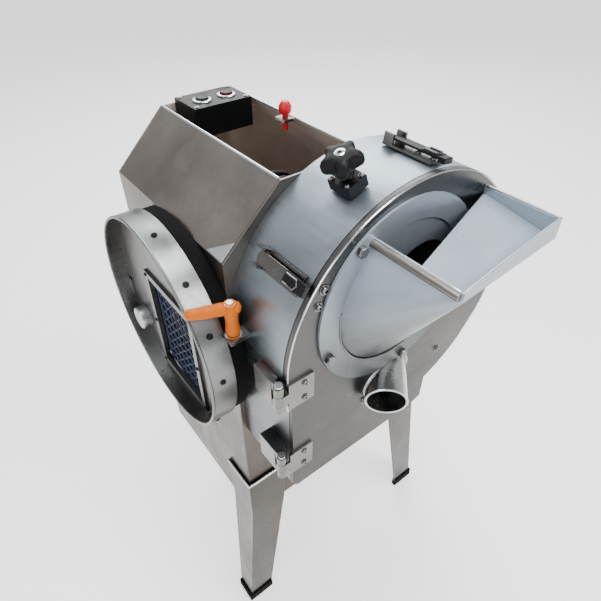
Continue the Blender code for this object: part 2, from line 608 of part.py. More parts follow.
node("vent_grid", lattice(6, 9, (wy0 + 1, wy1 - 1), (wz0 + 1, wz1 - 1), 5.0, 2.5, COVER_FACE_X + GAP, COVER_FACE_X + GAP + 3), DARK, COVER_ORIGIN)

bracket = node("cover_hinge_bracket", box(hx, -140, BODY_REAR + GAP, BODY_REAR + 4.3, 664, 726), BRIGHT)
for k, (z0, z1) in enumerate(((664, 679.5), (710.5, 726))):
    join(bracket, box(hx - 6, hx + 6, BODY_REAR + 1.2, hy, z0 + 0.05, z1 - 0.05), f"add_bracket_web_{k}")
    join(bracket, rod((hx, hy, z0), (hx, hy, z1), 7.5, 20), f"add_bracket_knuckle_{k}")
cut(bracket, box(-260, -182, hy - 40, hy + 40, 679.4, 710.6), "cut_bracket_gap")
cut(bracket, rod((hx, hy, 600), (hx, hy, 800), 3.3, 14), "cut_bracket_bore")
node("cover_hinge_pin", turned([(0, 660), (2.8, 660), (2.8, 726.4), (5.5, 726.4), (5.5, 729), (0, 729)], (hx, hy, 0), (0, 0, 1), 14), BRIGHT)

# ---------------------------------------------------------------- clamp lever

clamp_bracket = node("clamp_bracket", box(CLAMP_X - 10, -170.0, CLAMP_Y - 12, CLAMP_Y + 12, CLAMP_BASE_Z, CLAMP_BASE_Z + 6), BRIGHT)
cut(clamp_bracket, prism(chamber_outline(GAP + 0.1), "Y", -20.0, 110.0), "cut_clamp_housing")
cut(clamp_bracket, rod((-150, COVER_Y, COVER_Z), (-250, COVER_Y, COVER_Z), COVER_R + 3, 48), "cut_clamp_seal")
join(clamp_bracket, rod((CLAMP_X, CLAMP_Y, CLAMP_BASE_Z + 2), (CLAMP_X, CLAMP_Y, 823.4), 4.0, 16), "add_clamp_stud")
clamp = node(
    "clamp_lever",
    turned([(0, 824), (4.6, 824), (4.6, 796.4), (8.0, 796.4), (8.6, 808), (8.6, 838), (6, 841), (0, 841)], (CLAMP_X, CLAMP_Y, 0), (0, 0, 1), 20),
    ORANGE, (CLAMP_X, CLAMP_Y, 825),
)
ARM = Vector((-0.911, 0.412, 0.0))
root = Vector((CLAMP_X, CLAMP_Y, 832.0))
join(clamp, turned([(0, -12), (5.5, -12), (7.0, -8), (7.6, 10), (7.8, 40), (6.4, 47), (0, 49)], root, ARM, 16), "add_clamp_arm")

# ---------------------------------------------------------------- controls

switch_box = node("switch_box", box(-83, 5, 320, BODY_REAR - SHEET - 0.4, 905, 945), BLACK)
for label, x, stuff in (("start", -58.0, GREEN), ("stop", -20.0, RED)):
    cut(switch_box, rod((x, 346, 934), (x, 346, 960), 9.6, 20), f"cut_recess_{label}")
    node(f"{label}_button", turned([(0, 939), (9, 939), (9, 948), (8, 950), (0, 950)], (x, 346, 0), (0, 0, 1), 20), stuff, (x, 346, 945))

node(
    "emergency_button",
    turned([(0, 920), (3.8, 920), (3.8, 942), (7.5, 942), (8.5, 945), (8.5, 951), (5, 957), (0, 957)], (STOP_X, STOP_Y, 0), (0, 0, 1), 20),
    RED, (STOP_X, STOP_Y, 940),
)
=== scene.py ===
import math

import bmesh
import bpy
from mathutils import Matrix, Vector


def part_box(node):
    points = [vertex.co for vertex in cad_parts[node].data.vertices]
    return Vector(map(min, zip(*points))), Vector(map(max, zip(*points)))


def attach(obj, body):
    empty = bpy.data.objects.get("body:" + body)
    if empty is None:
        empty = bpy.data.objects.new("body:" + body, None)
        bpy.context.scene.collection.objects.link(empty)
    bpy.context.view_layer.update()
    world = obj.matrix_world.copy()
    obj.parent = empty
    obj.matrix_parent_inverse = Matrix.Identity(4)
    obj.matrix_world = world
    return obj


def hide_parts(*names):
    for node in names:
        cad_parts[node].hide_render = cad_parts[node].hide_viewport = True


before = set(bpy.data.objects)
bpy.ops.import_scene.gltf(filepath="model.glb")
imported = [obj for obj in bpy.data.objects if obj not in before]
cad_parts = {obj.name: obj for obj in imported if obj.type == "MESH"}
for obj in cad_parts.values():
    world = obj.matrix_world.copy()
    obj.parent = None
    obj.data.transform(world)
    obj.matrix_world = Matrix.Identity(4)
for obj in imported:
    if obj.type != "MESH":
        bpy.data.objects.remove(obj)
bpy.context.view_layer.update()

# ---------------------------------------------------------------- camera and light

scene = bpy.context.scene
FORWARD = Vector((0.4665, 0.6029, -0.6472)).normalized()
RIGHT = FORWARD.cross(Vector((0, 0, 1))).normalized()
UP = RIGHT.cross(FORWARD)
EYE = Vector((-0.39322, -0.42735, 1.1779))
camera_data = bpy.data.cameras.new("camera")
camera_data.lens = 29.98
camera_data.sensor_width = 36.0
camera_data.clip_start = 0.01
camera = bpy.data.objects.new("camera", camera_data)
camera.matrix_world = Matrix((
    (RIGHT.x, UP.x, -FORWARD.x, EYE.x), (RIGHT.y, UP.y, -FORWARD.y, EYE.y),
    (RIGHT.z, UP.z, -FORWARD.z, EYE.z), (0, 0, 0, 1),
))
scene.collection.objects.link(camera)
scene.camera = camera


def area_light(name, place, target, size, power, colour=(1, 1, 1)):
    data = bpy.data.lights.new(name, "AREA")
    data.shape = "RECTANGLE"
    data.size, data.size_y = size
    data.energy = power
    data.color = colour
    lamp = bpy.data.objects.new(name, data)
    direction = Vector(target) - Vector(place)
    lamp.matrix_world = Matrix.Translation(Vector(place)) @ direction.to_track_quat("-Z", "Y").to_matrix().to_4x4()
    scene.collection.objects.link(lamp)


area_light("key", (0.7, -1.6, 2.6), (0.0, 0.0, 0.7), (1.6, 1.0), 46, (1.0, 0.99, 0.97))
area_light("window", (-2.2, -0.7, 2.0), (0.0, 0.0, 0.6), (1.2, 1.6), 26, (0.90, 0.95, 1.0))
area_light("back", (0.6, 2.2, 2.4), (0.0, 0.0, 0.6), (2.0, 1.0), 24)
area_light("tray_side", (2.0, 2.3, 2.7), (0.0, 0.0, 0.8), (2.6, 2.0), 75, (0.95, 0.98, 1.0))
area_light("top", (-0.1, 0.0, 2.9), (-0.05, 0.0, 0.8), (0.9, 0.9), 44)
area_light("low_front", (-0.3, -2.2, 0.5), (0.0, 0.0, 0.5), (1.6, 0.7), 10, (0.95, 0.97, 1.0))

world = bpy.data.worlds.new("studio")
scene.world = world
world.use_nodes = True
wn, wl = world.node_tree.nodes, world.node_tree.links
wn.clear()
w_out = wn.new("ShaderNodeOutputWorld")
w_back = wn.new("ShaderNodeBackground")
w_ramp = wn.new("ShaderNodeValToRGB")
w_split = wn.new("ShaderNodeSeparateXYZ")
w_coord = wn.new("ShaderNodeTexCoord")
w_noise = wn.new("ShaderNodeTexNoise")
w_mix = wn.new("ShaderNodeMix")
w_mix.data_type = "RGBA"
w_mix.blend_type = "MULTIPLY"
w_mix.inputs["Factor"].default_value = 0.75
w_noise.inputs["Scale"].default_value = 2.2
w_noise.inputs["Detail"].default_value = 1.0
w_bands = wn.new("ShaderNodeValToRGB")
w_bands.color_ramp.elements[0].position = 0.36
w_bands.color_ramp.elements[0].color = (0.42, 0.40, 0.39, 1)
w_bands.color_ramp.elements[1].position = 0.60
w_bands.color_ramp.elements[1].color = (1, 1, 1, 1)
for place, colour in ((0.0, (0.62, 0.60, 0.58, 1)), (0.5, (0.60, 0.61, 0.62, 1)), (0.66, (0.95, 0.97, 1.0, 1)), (1.0, (1.0, 1.0, 1.0, 1))):
    if place in (0.0, 1.0):
        element = w_ramp.color_ramp.elements[int(place)]
    else:
        element = w_ramp.color_ramp.elements.new(place)
    element.position, element.color = place, colour
w_scale = wn.new("ShaderNodeMath")
w_scale.operation = "MULTIPLY_ADD"
w_scale.inputs[1].default_value = 0.5
w_scale.inputs[2].default_value = 0.5
wl.new(w_coord.outputs["Generated"], w_split.inputs["Vector"])
wl.new(w_split.outputs["Z"], w_scale.inputs[0])
wl.new(w_scale.outputs[0], w_ramp.inputs["Fac"])
wl.new(w_coord.outputs["Generated"], w_noise.inputs["Vector"])
wl.new(w_noise.outputs["Fac"], w_bands.inputs["Fac"])
wl.new(w_ramp.outputs["Color"], w_mix.inputs["A"])
wl.new(w_bands.outputs["Color"], w_mix.inputs["B"])
wl.new(w_mix.outputs["Result"], w_back.inputs["Color"])
w_back.inputs["Strength"].default_value = 0.85
wl.new(w_back.outputs["Background"], w_out.inputs["Surface"])

# ---------------------------------------------------------------- materials


class Graph:
    """Short way to write a node material."""

    def __init__(self, name):
        self.material = bpy.data.materials.new(name)
        self.material.use_nodes = True
        self.tree = self.material.node_tree
        self.tree.nodes.clear()
        self.out = self.add("ShaderNodeOutputMaterial")
        self.shader = self.add("ShaderNodeBsdfPrincipled")
        self.tree.links.new(self.shader.outputs["BSDF"], self.out.inputs["Surface"])
        self.coord = self.add("ShaderNodeTexCoord").outputs["Object"]

    def add(self, kind):
        return self.tree.nodes.new(kind)

    def link(self, a, b):
        self.tree.links.new(a, b)

    def noise(self, scale, detail=3.0, stretch=(1, 1, 1), turn=(0, 0, 0), rough=0.55, warp=0.0):
        mapping = self.add("ShaderNodeMapping")
        mapping.inputs["Scale"].default_value = stretch
        mapping.inputs["Rotation"].default_value = turn
        self.link(self.coord, mapping.inputs["Vector"])
        n = self.add("ShaderNodeTexNoise")
        n.inputs["Scale"].default_value = scale
        n.inputs["Detail"].default_value = detail
        n.inputs["Roughness"].default_value = rough
        n.inputs["Distortion"].default_value = warp
        self.link(mapping.outputs["Vector"], n.inputs["Vector"])
        return n.outputs["Fac"]

    def ramp(self, source, stops):
        r = self.add("ShaderNodeValToRGB")
        while len(r.color_ramp.elements) < len(stops):
            r.color_ramp.elements.new(0.5)
        for element, (place, colour) in zip(r.color_ramp.elements, stops):
            if not isinstance(colour, tuple):
                colour = (colour, colour, colour)
            element.position, element.color = place, (*colour, 1)
        self.link(source, r.inputs["Fac"])
        return r.outputs["Color"]

    def blend(self, a, b, factor, mode="MIX"):
        m = self.add("ShaderNodeMix")
        m.data_type = "RGBA"
        m.blend_type = mode
        for value, key in ((factor, "Factor"), (a, "A"), (b, "B")):
            if hasattr(value, "links"):
                self.link(value, m.inputs[key])
            elif key == "Factor":
                m.inputs[key].default_value = value
            else:
                m.inputs[key].default_value = (*value, 1)
        return m.outputs["Result"]

    def math(self, a, b, how="MULTIPLY"):
        m = self.add("ShaderNodeMath")
        m.operation = how
        for i, value in enumerate((a, b)):
            if hasattr(value, "links"):
                self.link(value, m.inputs[i])
            else:
                m.inputs[i].default_value = value
        return m.outputs[0]

    def bump(self, *layers):
        """Each layer is (height socket, strength, distance)."""
        normal = None
        for height, strength, distance in layers:
            b = self.add("ShaderNodeBump")
            b.inputs["Strength"].default_value = strength
            b.inputs["Distance"].default_value = distance
            self.link(height, b.inputs["Height"])
            if normal:
                self.link(normal, b.inputs["Normal"])
            normal = b.outputs["Normal"]
        self.link(normal, self.shader.inputs["Normal"])


def sheet_metal(name, light, dark, rough, brush=(1, 1, 1), stain=None, dents=0.25, brush_depth=0.12, shade=True, painted_low_shade=None, metal=1.0):
    """Worked stainless sheet: grain along one way, rubbed patches, faint scratches and a slight waviness, with painted
    shade by facing and towards the floor.
    """
    g = Graph(name)
    broad = g.noise(5.0, 2, warp=0.4)
    patches = g.noise(15, 3, warp=0.5)
    grain = g.noise(260, 2, stretch=brush)
    scratch = g.noise(55, 3, stretch=(1.0, 0.07, 1.0), turn=(0.3, 0.9, 0.5))
    scratch_mask = g.ramp(scratch, [(0.67, 0.0), (0.73, 1.0)])
    tone = g.blend(dark, light, g.ramp(broad, [(0.32, 0.0), (0.66, 1.0)]))
    tone = g.blend(tone, tuple(min(1.0, c * 1.18) for c in light), g.math(g.ramp(patches, [(0.48, 0.0), (0.80, 1.0)]), 0.22))
    if stain:
        tone = g.blend(tone, stain, g.math(g.ramp(g.noise(6.5, 3, warp=0.8), [(0.52, 0.0), (0.78, 1.0)]), 0.5))
    tone = g.blend(tone, (1.0, 1.0, 1.0), g.math(scratch_mask, 0.08))
    if shade:
        # Painted shade: faces that look down are darker and browner, upward faces stay bright.
        split = g.add("ShaderNodeSeparateXYZ")
        g.link(g.add("ShaderNodeNewGeometry").outputs["True Normal"], split.inputs["Vector"])
        height = g.math(g.math(split.outputs["Z"], 0.5), 0.5, "ADD")
        tone = g.blend(tone, g.ramp(height, [(0.10, (0.30, 0.255, 0.21)), (0.47, (0.66, 0.635, 0.61)), (0.86, (1.0, 1.0, 1.0))]), 1.0, "MULTIPLY")
    if painted_low_shade:
        # Painted shade: darker towards the floor, from the height in the first entry to the height in the third, in
        # metres.
        rise = g.add("ShaderNodeSeparateXYZ")
        g.link(g.coord, rise.inputs["Vector"])
        tone = g.blend(tone, g.ramp(rise.outputs["Z"], [(painted_low_shade[0], painted_low_shade[1]), (painted_low_shade[2], (1.0, 1.0, 1.0))]), 1.0, "MULTIPLY")
    g.link(tone, g.shader.inputs["Base Color"])
    g.shader.inputs["Metallic"].default_value = metal
    spread = g.math(g.ramp(patches, [(0.3, 0.0), (0.8, 1.0)]), 0.16)
    grainy = g.math(g.ramp(grain, [(0.25, 0.0), (0.75, 1.0)]), 0.10)
    total = g.math(g.math(spread, grainy, "ADD"), rough - 0.10, "ADD")
    g.link(total, g.shader.inputs["Roughness"])
    g.shader.inputs["Anisotropic"].default_value = 0.35
    g.bump((g.noise(7.0, 1.5), dents, 0.004), (grain, brush_depth, 0.0004), (scratch_mask, 0.10, 0.0003))
    return g.material


def cast_metal(name, colour, rough=0.48):
    g = Graph(name)
    grit = g.noise(420, 3)
    tone = g.ramp(g.noise(30, 4), [(0.3, tuple(c * 0.72 for c in colour)), (0.75, colour)])
    g.link(tone, g.shader.inputs["Base Color"])
    g.shader.inputs["Metallic"].default_value = 0.9
    g.link(g.math(g.math(grit, 0.18), rough - 0.09, "ADD"), g.shader.inputs["Roughness"])
    g.bump((grit, 0.35, 0.0006))
    return g.material


def plastic(name, colour, worn, rough, coat=0.0, grit=0.12, shine=0.35):
    """Moulded plastic with a fine skin, rubbed lighter in places."""
    g = Graph(name)
    rub = g.ramp(g.noise(38, 5, warp=0.8), [(0.50, 0.0), (0.78, 1.0)])
    g.link(g.blend(colour, worn, g.math(rub, 0.5)), g.shader.inputs["Base Color"])
    skin = g.noise(900, 2)
    g.link(g.math(g.math(rub, 0.22), rough, "ADD"), g.shader.inputs["Roughness"])
    g.shader.inputs["Coat Weight"].default_value = coat
    g.shader.inputs["Specular IOR Level"].default_value = shine
    g.shader.inputs["Coat Roughness"].default_value = 0.12
    g.bump((skin, grit, 0.0003), (g.noise(60, 2), 0.06, 0.001))
    return g.material


def painted(name, colour, chip, rough=0.42):
    g = Graph(name)
    chips = g.ramp(g.noise(85, 5), [(0.70, 0.0), (0.73, 1.0)])
    tone = g.ramp(g.noise(14, 3), [(0.3, tuple(c * 0.8 for c in colour)), (0.7, colour)])
    g.link(g.blend(tone, chip, chips), g.shader.inputs["Base Color"])
    g.link(g.math(chips, 0.7), g.shader.inputs["Metallic"])
    g.shader.inputs["Roughness"].default_value = rough
    g.shader.inputs["Specular IOR Level"].default_value = 0.2
    g.bump((g.noise(230, 2), 0.15, 0.0006), (chips, -0.2, 0.0004))
    return g.material


CABINET = sheet_metal("cabinet_steel", (0.290, 0.268, 0.250), (0.175, 0.160, 0.147), 0.36, brush=(1, 1, 0.02), stain=(0.155, 0.120, 0.095), painted_low_shade=(0.36, (0.30, 0.24, 0.20), 0.84))
# Painted light: a lighter, browner, less metallic copy of the cabinet steel for the inside of the cabinet, standing in
# for the light reflected in there.
INSIDE = sheet_metal("cabinet_inner_steel", (0.66, 0.57, 0.50), (0.46, 0.385, 0.33), 0.58, brush=(1, 1, 0.02), stain=(0.36, 0.27, 0.21), shade=False, metal=0.22)
# Painted shade: the leg steel is made far darker than the other steel, standing in for the shade on the legs under the
# cabinet.
LEG = sheet_metal("leg_steel", (0.078, 0.068, 0.059), (0.040, 0.033, 0.027), 0.29, brush=(1, 1, 0.02), stain=(0.050, 0.036, 0.026))
DRUM = sheet_metal("drum_steel", (0.395, 0.460, 0.520), (0.275, 0.328, 0.372), 0.33, brush=(1, 0.03, 1), stain=(0.18, 0.205, 0.225), painted_low_shade=(0.56, (0.34, 0.32, 0.30), 0.88))
DOOR = sheet_metal("door_steel", (0.165, 0.170, 0.174), (0.092, 0.092, 0.090), 0.32, brush=(0.03, 1, 1), stain=(0.075, 0.066, 0.056), painted_low_shade=(0.56, (0.36, 0.31, 0.26), 0.93))
# Painted light: the hopper steel has a light bluish base and is only half metallic, standing in for the bright light
# on the tray and inside the hopper.
HORN = sheet_metal("hopper_steel", (0.50, 0.59, 0.68), (0.40, 0.48, 0.56), 0.36, brush=(1, 1, 0.05), stain=(0.36, 0.41, 0.45), dents=0.12, brush_depth=0.03, painted_low_shade=(0.74, (0.24, 0.23, 0.21), 0.905), metal=0.50)
FOLD = sheet_metal("hopper_fold_steel", (0.34, 0.325, 0.305), (0.19, 0.175, 0.16), 0.34, dents=0.1, brush_depth=0.03)
PAN = sheet_metal("cover_steel", (0.265, 0.275, 0.278), (0.135, 0.136, 0.135), 0.32, brush=(1, 1, 0.03), stain=(0.095, 0.082, 0.070))
POLISH = sheet_metal("polished_steel", (0.80, 0.85, 0.90), (0.62, 0.67, 0.71), 0.22, dents=0.1, brush_depth=0.05)
BOSS = sheet_metal("boss_steel", (0.66, 0.69, 0.72), (0.56, 0.58, 0.60), 0.34, dents=0.0, brush_depth=0.02)
FITTING = sheet_metal("fitting_steel", (0.30, 0.305, 0.308), (0.125, 0.122, 0.118), 0.24, dents=0.15, stain=(0.070, 0.058, 0.046))
PIPE = sheet_metal("pipe_steel", (0.70, 0.72, 0.73), (0.38, 0.37, 0.36), 0.24, dents=0.15, stain=(0.20, 0.17, 0.14))
KNIFE = sheet_metal("knife_steel_ground", (0.80, 0.81, 0.83), (0.62, 0.63, 0.65), 0.20, brush=(1, 0.05, 1), dents=0.05)
WELD = cast_metal("weld_metal", (0.62, 0.63, 0.64), 0.40)
CAST = cast_metal("cast_aluminium_rough", (0.60, 0.60, 0.61), 0.50)
BRONZE = cast_metal("bronze_bush", (0.55, 0.36, 0.14), 0.36)
MOTOR = painted("motor_enamel", (0.10, 0.16, 0.22), (0.40, 0.40, 0.40))
DARK = painted("dark_blue_steel", (0.018, 0.026, 0.060), (0.030, 0.042, 0.090), 0.5)
BLACKENED = painted("blackened_steel", (0.008, 0.008, 0.010), (0.10, 0.10, 0.105), 0.34)
BLACK = plastic("black_gloss_plastic", (0.0030, 0.0030, 0.0034), (0.008, 0.008, 0.009), 0.40, shine=0.16)
RUBBER = plastic("black_rubber_skin", (0.0045, 0.0045, 0.0045), (0.016, 0.015, 0.014), 0.78, grit=0.4, shine=0.06)
ORANGE = plastic("orange_moulding", (0.50, 0.108, 0.0), (0.54, 0.135, 0.002), 0.40, shine=0.16)
RED = plastic("red_moulding", (0.52, 0.006, 0.016), (0.60, 0.03, 0.04), 0.30, shine=0.4)
GREEN = plastic("green_moulding_dark", (0.003, 0.020, 0.009), (0.006, 0.03, 0.014), 0.40, shine=0.16)
RED_DARK = plastic("red_moulding_dark", (0.045, 0.003, 0.004), (0.06, 0.006, 0.007), 0.40, shine=0.16)

# ---------------------------------------------------------------- building helpers
# The machine's own millimetres: x to the right, y to the back from the drum's front, z up from the floor.


def W(x, y, z):
    return Vector(((x - 15.92) * 0.001, (y - 142.25) * 0.001, z * 0.001))


def piece(name, verts, faces, material, body, slot, stands_for=(), smooth=True, bevel=0.0, angle=34):
    mesh = bpy.data.meshes.new(name)
    mesh.from_pydata([tuple(v) for v in verts], [], faces)
    bm = bmesh.new()
    bm.from_mesh(mesh)
    bmesh.ops.remove_doubles(bm, verts=bm.verts, dist=1e-6)
    bmesh.ops.recalc_face_normals(bm, faces=bm.faces)
    bm.to_mesh(mesh)
    bm.free()
    obj = bpy.data.objects.new(name, mesh)
    scene.collection.objects.link(obj)
    mesh.materials.append(material)
    finish_edges(obj, bevel, angle, smooth)
    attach(obj, body)
    if stands_for:
        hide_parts(*stands_for)
    return obj


def finish_edges(obj, bevel, angle=34, smooth=True, segments=2, weld=False):
    """Rounded, lit edges without touching the vertices."""
    if weld:
        if "custom_normal" in obj.data.attributes:
            obj.data.attributes.remove(obj.data.attributes["custom_normal"])
        w = obj.modifiers.new("weld", "WELD")
        w.merge_threshold = 0.00001
    if bevel:
        m = obj.modifiers.new("edge", "BEVEL")
        m.width = bevel * 0.001
        m.segments = segments
        m.limit_method = "ANGLE"
        m.angle_limit = math.radians(angle)
        m.harden_normals = False
        m.use_clamp_overlap = True
    if smooth:
        for poly in obj.data.polygons:
            poly.use_smooth = True
        if not bevel:
            mark_sharp(obj.data, math.radians(angle))
        else:
            n = obj.modifiers.new("normals", "WEIGHTED_NORMAL")
            n.keep_sharp = True


def mark_sharp(mesh, limit):
    bm = bmesh.new()
    bm.from_mesh(mesh)
    for e in bm.edges:
        e.smooth = not (len(e.link_faces) == 2 and e.calc_face_angle(0.0) > limit)
    bm.to_mesh(mesh)
    bm.free()


def frame_of(direction):
    d = Vector(direction).normalized()
    side = d.cross(Vector((0, 0, 1)) if abs(d.z) < 0.9 else Vector((1, 0, 0))).normalized()
    return side, d.cross(side).normalized(), d


def tube(points, radius, sides=10, closed=False, flat=1.0, up=None):
    """Verts and faces of a tube along world points. radius is metres, or a function of the distance along."""
    n = len(points)
    verts, faces = [], []
    length = 0.0
    old = None
    for i, p in enumerate(points):
        before = points[i - 1] if (i or closed) else points[0]
        after = points[(i + 1) % n] if (i < n - 1 or closed) else points[-1]
        d = (after - before).normalized()
        if i:
            length += (p - points[i - 1]).length
        if up is not None:
            side = d.cross(up).normalized()
        elif old is None:
            side = frame_of(d)[0]
        else:
            side = (old - d * old.dot(d)).normalized()
        old = side
        other = d.cross(side).normalized()
        r = radius(length) if callable(radius) else radius
        for k in range(sides):
            a = 2 * math.pi * k / sides
            verts.append(p + side * (r * math.cos(a)) + other * (r * flat * math.sin(a)))
    rings = n if closed else n - 1
    for i in range(rings):
        for k in range(sides):
            a, b = i * sides + k, i * sides + (k + 1) % sides
            c, d2 = ((i + 1) % n) * sides + (k + 1) % sides, ((i + 1) % n) * sides + k
            faces.append((a, b, c, d2))
    if not closed:
        faces.append(tuple(range(sides)))
        faces.append(tuple((n - 1) * sides + k for k in range(sides)))
    return verts, faces


def merge(*parts):
    verts, faces = [], []
    for v, f in parts:
        shift = len(verts)
        verts += list(v)
        faces += [tuple(i + shift for i in face) for face in f]
    return verts, faces


def spun(profile, centre, direction, steps=32, wave=None):
    """Lathe of (radius mm, distance mm) along direction from a world point; wave(angle, k) scales the radius."""
    side, other, d = frame_of(direction)
    verts, faces = [], []
    for k, (r, h) in enumerate(profile):
        for i in range(steps):
            a = 2 * math.pi * i / steps
            rr = (r * (wave(a, k) if wave else 1.0)) * 0.001
            verts.append(centre + d * (h * 0.001) + side * (rr * math.cos(a)) + other * (rr * math.sin(a)))
    for k in range(len(profile) - 1):
        for i in range(steps):
            j = (i + 1) % steps
            faces.append((k * steps + i, k * steps + j, (k + 1) * steps + j, (k + 1) * steps + i))
    faces.append(tuple(range(steps)))
    faces.append(tuple((len(profile) - 1) * steps + i for i in range(steps)))
    return verts, faces


def screw_head(centre, direction, r=4.0, h=2.6):
    """Domed head with a round socket, on a washer."""
    washer = spun([(r * 1.45, 0), (r * 1.5, 0.3), (r * 1.45, 0.9), (r * 0.6, 0.9)], centre, direction, 20)
    head = spun(
        [(r, 0.85), (r, h * 0.55 + 0.85), (r * 0.88, h + 0.5), (r * 0.62, h + 0.85), (r * 0.50, h + 0.85), (r * 0.46, h * 0.35)],
        centre, direction, 20,
    )
    return merge(washer, head)


def hex_head(centre, direction, r=6.0, h=4.5):
    washer = spun([(r * 1.35, 0), (r * 1.4, 0.4), (r * 1.35, 1.1), (r * 0.5, 1.1)], centre, direction, 24)
    head = spun([(r, 1.0), (r, h - 0.6), (r * 0.90, h), (r * 0.3, h)], centre, direction, 6)
    return merge(washer, head)


def slab(corners, normal, thick):
    """Plate from world corners, thickened along a unit normal by millimetres."""
    n = Vector(normal).normalized() * thick * 0.001
    k = len(corners)
    verts = list(corners) + [c + n for c in corners]
    faces = [tuple(range(k)), tuple(range(2 * k - 1, k - 1, -1))]
    faces += [(i, (i + 1) % k, k + (i + 1) % k, k + i) for i in range(k)]
    return verts, faces


def ripple(base, depth=0.22, pitch=0.0022):
    return lambda s: base * (1.0 + depth * (0.5 + 0.5 * math.cos(2 * math.pi * s / pitch)))


def finer(points, step=0.0009, closed=False):
    out = []
    n = len(points)
    for i in range(n if closed else n - 1):
        a, b = points[i], points[(i + 1) % n]
        count = max(1, int((b - a).length / step))
        out += [a.lerp(b, j / count) for j in range(count)]
    if not closed:
        out.append(points[-1])
    return out


def outline(margin, steps=96):
    """The drum's outline seen from the front: an arc of the circle, from -40 to 183 degrees."""
    r = 180.0 + margin
    points = []
    start, end = math.radians(-40), math.radians(183)
    for i in range(steps + 1):
        a = start + (end - start) * i / steps
        points.append((r * math.cos(a), 775.0 + r * math.sin(a)))
    return points


# ---------------------------------------------------------------- materials on the CAD nodes

LOOK = {
    "left_side_panel": CABINET, "right_side_panel": CABINET, "rear_panel": CABINET, "front_bulkhead": CABINET,
    "motor_shelf": INSIDE, "cable_gland": BLACK,
    "chamber_housing": DRUM, "slicing_ring": DRUM, "slicing_knife": KNIFE, "thickness_gate": FITTING,
    "impeller": CAST, "main_shaft": POLISH, "bearing_housing": CAST, "drive_pulley": CAST,
    "strip_knife_roller": KNIFE, "stripper_comb": FITTING, "cutter_bearing": BRONZE, "cutter_pulley": CAST,
    "main_belt": RUBBER, "cutter_belt": RUBBER, "motor_body": MOTOR, "motor_pulley": CAST,
    "front_door": DOOR, "feed_hopper": HORN, "drain_pipe": PIPE,
    "knob_block": BLACK, "star_knob": BLACK, "cover_seal_ring": RUBBER, "round_cover": PAN, "vent_grid": DARK,
    "cover_hinge_bracket": FITTING, "cover_hinge_pin": POLISH, "clamp_bracket": FITTING, "clamp_lever": ORANGE,
    "switch_box": BLACK, "start_button": GREEN, "stop_button": RED_DARK, "emergency_button": RED,
}
EDGE = {"latch_base_left": 0.2, "latch_base_top": 0.2, "clamp_bracket": 0.25, "feed_hopper": 0.5, "front_door": 1.2, "chamber_housing": 0.8, "round_cover": 0.8, "switch_box": 2.0}
for name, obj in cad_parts.items():
    material = LOOK.get(name)
    if material is None:
        if name.startswith("leg_"):
            material = LEG
        elif name.startswith("foot_pad"):
            material = RUBBER
        elif name.startswith("hopper_bolt") or "hinge" in name:
            material = FITTING if "pin" not in name else POLISH
        elif name.startswith("latch_base"):
            material = FITTING
        elif name.startswith("latch_lever"):
            material = BLACKENED
        else:
            material = FITTING
    if obj.material_slots:
        for slot_ in obj.material_slots:
            slot_.link = "OBJECT"
            slot_.material = material
    else:
        obj.data.materials.append(material)
    finish_edges(obj, EDGE.get(name, 0.6), 32, weld=True)

# Painted light: the cabinet's inner faces get the lighter, browner, less metallic copy of the steel.
for name, inward in (("left_side_panel", (1, 0, 0)), ("right_side_panel", (-1, 0, 0)), ("rear_panel", (0, -1, 0)), ("front_bulkhead", (0, 1, 0))):
    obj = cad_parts[name]
    obj.data.materials.append(INSIDE)
    inner = len(obj.data.materials) - 1
    obj.material_slots[inner].link = "OBJECT"
    obj.material_slots[inner].material = INSIDE
    way = Vector(inward)
    for poly in obj.data.polygons:
        n = poly.normal
        sideways = n.dot(way) > 0.3 if name != "left_side_panel" else (n.x > 0.3 or (n.x > -0.1 and n.z < -0.3))
        if name == "right_side_panel":
            sideways = n.x < -0.3
        if sideways:
            poly.material_index = inner

# ---------------------------------------------------------------- pieces

DETAILS = []

# Woven wire in the cover's window.
WY, WZ, GX = (146.0, 256.0), (615.0, 770.0), -206.6
wires = []
CELL = 14.6
for lean in (1, -1):
    # Wires at 45 degrees, over and under, each cut off at the window's border.
    start = (WY[0] + WZ[0]) if lean == 1 else (WY[0] - WZ[1])
    end = (WY[1] + WZ[1]) if lean == 1 else (WY[1] - WZ[0])
    count = int((end - start) / CELL)
    for i in range(count):
        c = start + CELL * (i + 0.5)
        if lean == 1:
            y0, y1 = max(WY[0] + 1.5, c - WZ[1] + 1.5), min(WY[1] - 1.5, c - WZ[0] - 1.5)
        else:
            y0, y1 = max(WY[0] + 1.5, c + WZ[0] + 1.5), min(WY[1] - 1.5, c + WZ[1] - 1.5)
        if y1 - y0 < 6.0:
            continue
        steps = max(2, int((y1 - y0) / 1.8))
        path = []
        for j in range(steps + 1):
            y = y0 + (y1 - y0) * j / steps
            path.append(W(GX + lean * 0.7 * math.cos(2 * math.pi * y / CELL), y, c - y if lean == 1 else y - c))
        wires.append(tube(path, 0.0012, 6))
border = [W(GX, WY[0] + 1.6, WZ[0] + 1.6), W(GX, WY[1] - 1.6, WZ[0] + 1.6), W(GX, WY[1] - 1.6, WZ[1] - 1.6), W(GX, WY[0] + 1.6, WZ[1] - 1.6)]
wires.append(tube(finer(border, 0.02, True), 0.0016, 8, closed=True))
piece("cover_wire_mesh", *merge(*wires), DARK, "cover", "dark_steel", ("vent_grid",))

